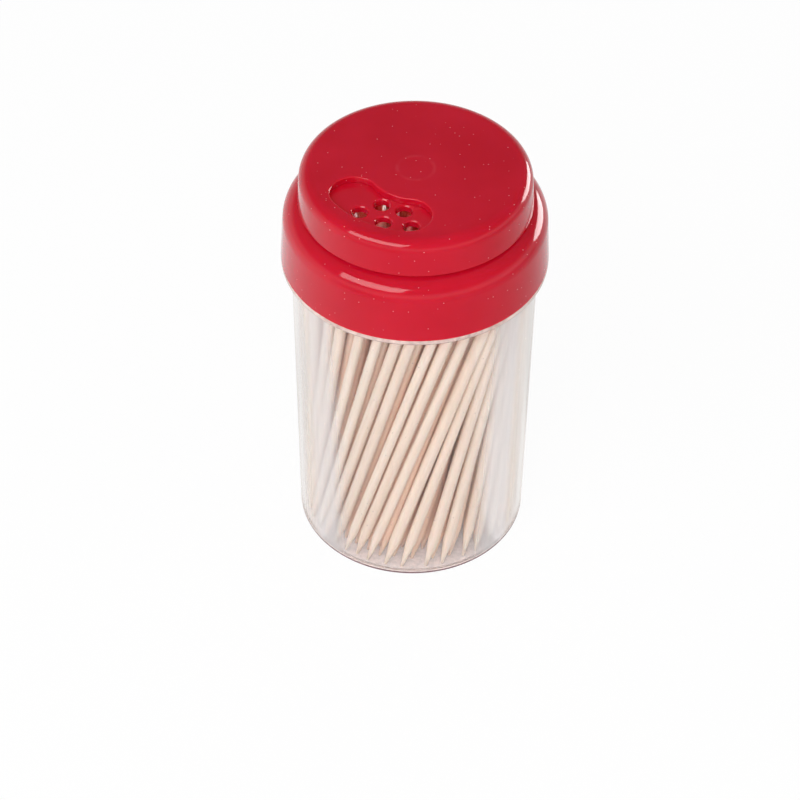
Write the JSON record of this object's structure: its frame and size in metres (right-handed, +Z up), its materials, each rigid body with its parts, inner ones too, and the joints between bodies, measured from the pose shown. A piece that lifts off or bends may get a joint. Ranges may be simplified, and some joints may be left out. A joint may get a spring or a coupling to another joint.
{
  "type": "toothpick dispenser",
  "caption": "Clear round jar of wooden toothpicks with a red push-on lid; a turning dial with a kidney-shaped window uncovers or closes the small holes in the lid's deck.",
  "frame": {"origin": "centre of the jar's base, on the surface that it stands on", "axes": "+Z up along the jar's axis, -Y to the front; the dial's window rests at the front left"},
  "size_m": [0.047, 0.047, 0.08],
  "materials": {
    "clear_jar": "clear, polished",
    "red_collar": "glossy moulded",
    "red_dial": "glossy moulded",
    "pick_wood": "bare, smooth"
  },
  "bodies": {
    "jar": {"jar": "clear_jar", "toothpicks_centre": "pick_wood", "toothpicks_sector_1": "pick_wood", "toothpicks_sector_2": "pick_wood", "toothpicks_sector_3": "pick_wood", "toothpicks_sector_4": "pick_wood", "toothpicks_sector_5": "pick_wood", "toothpicks_sector_6": "pick_wood", "toothpicks_sector_7": "pick_wood", "toothpicks_sector_8": "pick_wood"},
    "collar": {"lid_collar": "red_collar"},
    "dial": {"dial_cap": "red_dial"}
  },
  "joints": [
    {"name": "lid_lift", "type": "slide", "parent": "jar", "child": "collar", "axis": [0, 0, 1], "range_m": [0, 0.03]},
    {"name": "dial_turn", "type": "hinge", "parent": "collar", "child": "dial", "pos_m": [0, 0, 0.0787], "axis": [0, 0, 1], "continuous": true}
  ]
}
